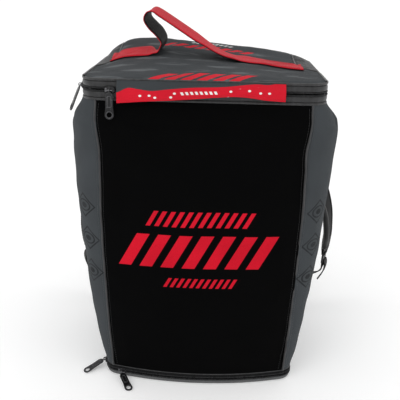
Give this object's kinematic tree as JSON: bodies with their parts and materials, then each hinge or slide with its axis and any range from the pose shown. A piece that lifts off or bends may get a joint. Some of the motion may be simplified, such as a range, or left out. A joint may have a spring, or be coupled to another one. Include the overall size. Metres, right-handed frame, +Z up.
{
  "type": "gear backpack",
  "caption": "Tall soft box backpack with a zip-round lid and base, a storm flap over the lid zip, a webbing grab handle and padded shoulder straps.",
  "frame": {"origin": "on the floor, below the middle of the rim, on the underside of the base", "axes": "+Z up, -Y out of the black front panel, +X to the right as seen from the front"},
  "size_m": [0.5359, 0.4002, 0.6001],
  "materials": {
    "black_fabric": "matte heavy nylon, black",
    "grey_fabric": "matte padded polyester, dark slate grey with a faint tone-on-tone print",
    "base_fabric": "coarse coated nylon, mid grey",
    "red_fabric": "flat woven nylon, bright red",
    "red_webbing": "heavy nylon webbing, red above and black below",
    "black_webbing": "ribbed polypropylene webbing, black",
    "piping": "satin bias-bound cord piping, near black",
    "zip_tape": "herringbone zip tape, black",
    "zip_coil": "satin nylon coil, black",
    "slider_metal": "gunmetal black enamel, worn to grey on the edges",
    "strap_padding": "matte padded mesh with bound edges, black",
    "buckle_plastic": "satin moulded acetal, black",
    "board_plastic": "textured stiffening board, black"
  },
  "bodies": {
    "bag_body": {"front_panel": "black_fabric", "left_side_panel": "grey_fabric", "right_side_panel": "grey_fabric", "back_panel": "grey_fabric", "back_pad": "strap_padding", "divider_floor": "board_plastic", "front_left_welt": "piping", "front_right_welt": "piping", "back_left_welt": "piping", "back_right_welt": "piping", "rim_piping_body": "piping", "rim_tape_body": "zip_tape", "rim_coil_body": "zip_coil", "rear_rim_band_body": "grey_fabric", "base_piping_body": "piping", "base_tape_body": "zip_tape", "base_coil_body": "zip_coil", "rear_base_band_body": "grey_fabric", "strap_yoke": "grey_fabric", "strap_anchor_left": "grey_fabric", "strap_anchor_right": "grey_fabric", "lower_webbing_left": "black_webbing", "lower_webbing_right": "black_webbing"},
    "lid": {"lid_panel": "grey_fabric", "rim_piping_lid": "piping", "rim_tape_lid": "zip_tape", "rim_coil_lid": "zip_coil", "rear_rim_band_lid": "grey_fabric", "handle_end_left": "red_webbing", "handle_end_right": "red_webbing"},
    "storm_flap": {"storm_flap": "red_fabric"},
    "grab_handle": {"grab_handle": "red_webbing"},
    "base_tray": {"base_panel": "base_fabric", "base_stiffener": "board_plastic", "base_tape_tray": "zip_tape", "base_coil_tray": "zip_coil", "rear_base_band_tray": "grey_fabric"},
    "strap_left": {"shoulder_pad_left": "strap_padding"},
    "strap_right": {"shoulder_pad_right": "strap_padding"},
    "lock_left": {"ladder_lock_left": "buckle_plastic", "webbing_tail_left": "black_webbing"},
    "lock_right": {"ladder_lock_right": "buckle_plastic", "webbing_tail_right": "black_webbing"},
    "rim_front_slider": {"rim_front_slider": "slider_metal"},
    "rim_front_pull": {"rim_front_pull": "slider_metal"},
    "rim_side_slider": {"rim_side_slider": "slider_metal"},
    "rim_side_pull": {"rim_side_pull": "slider_metal"},
    "base_front_slider": {"base_front_slider": "slider_metal"},
    "base_front_pull": {"base_front_pull": "slider_metal"},
    "base_side_slider": {"base_side_slider": "slider_metal"},
    "base_side_pull": {"base_side_pull": "slider_metal"}
  },
  "joints": [
    {"name": "lid_hinge", "type": "hinge", "parent": "bag_body", "child": "lid", "pos_m": [0, 0.14, 0.493], "axis": [-1, 0, 0], "range_deg": [0, 150]},
    {"name": "storm_flap_hinge", "type": "hinge", "parent": "lid", "child": "storm_flap", "pos_m": [0, -0.1438, 0.5092], "axis": [-1, 0, 0], "range_deg": [0, 150]},
    {"name": "handle_hinge", "type": "hinge", "parent": "lid", "child": "grab_handle", "pos_m": [0, 0.012, 0.547], "axis": [1, 0, 0], "range_deg": [-35, 35], "stiffness_Nm_per_rad": 0.05},
    {"name": "base_hinge", "type": "hinge", "parent": "bag_body", "child": "base_tray", "pos_m": [0, 0.127, 0.0112], "axis": [1, 0, 0], "range_deg": [0, 100]},
    {"name": "strap_hinge_left", "type": "hinge", "parent": "bag_body", "child": "strap_left", "pos_m": [0, 0.159, 0.45], "axis": [1, 0, 0], "range_deg": [0, 35]},
    {"name": "strap_hinge_right", "type": "hinge", "parent": "bag_body", "child": "strap_right", "pos_m": [0, 0.159, 0.45], "axis": [1, 0, 0], "range_deg": [0, 35]},
    {"name": "lock_hinge_left", "type": "hinge", "parent": "strap_left", "child": "lock_left", "pos_m": [-0.24786, 0.1885, 0.115], "axis": [0.3353, -0.9373, 0.0949], "range_deg": [-40, 0]},
    {"name": "lock_hinge_right", "type": "hinge", "parent": "strap_right", "child": "lock_right", "pos_m": [0.255, 0.1885, 0.115], "axis": [0.3351, 0.9373, -0.0957], "range_deg": [-40, 0]},
    {"name": "rim_front_slide", "type": "slide", "parent": "bag_body", "child": "rim_front_slider", "axis": [1, 0, 0], "range_m": [0, 0.283]},
    {"name": "rim_front_pull_hinge", "type": "hinge", "parent": "rim_front_slider", "child": "rim_front_pull", "pos_m": [-0.139, -0.14711, 0.493], "axis": [-1, 0, 0], "range_deg": [0, 159]},
    {"name": "rim_side_slide", "type": "slide", "parent": "bag_body", "child": "rim_side_slider", "axis": [0, 1, 0], "range_m": [0, 0.187]},
    {"name": "rim_side_pull_hinge", "type": "hinge", "parent": "rim_side_slider", "child": "rim_side_pull", "pos_m": [-0.1903, -0.102, 0.493], "axis": [-0.3746, 0.9272, 0], "range_deg": [0, 135]},
    {"name": "base_front_slide", "type": "hinge", "parent": "bag_body", "child": "base_front_slider", "pos_m": [0, 0.35, 0.0112], "axis": [0, 0, 1], "range_deg": [0, 28]},
    {"name": "base_front_pull_hinge", "type": "hinge", "parent": "base_front_slider", "child": "base_front_pull", "pos_m": [-0.12984, -0.1403, 0.0112], "axis": [-0.8897, -0.4566, 0], "range_deg": [-46, 40]},
    {"name": "base_side_slide", "type": "slide", "parent": "bag_body", "child": "base_side_slider", "axis": [0, 1, 0], "range_m": [0, 0.175]},
    {"name": "base_side_pull_hinge", "type": "hinge", "parent": "base_side_slider", "child": "base_side_pull", "pos_m": [-0.1653, -0.1, 0.0112], "axis": [-0.6691, 0.7431, 0], "range_deg": [-46, 40]}
  ]
}
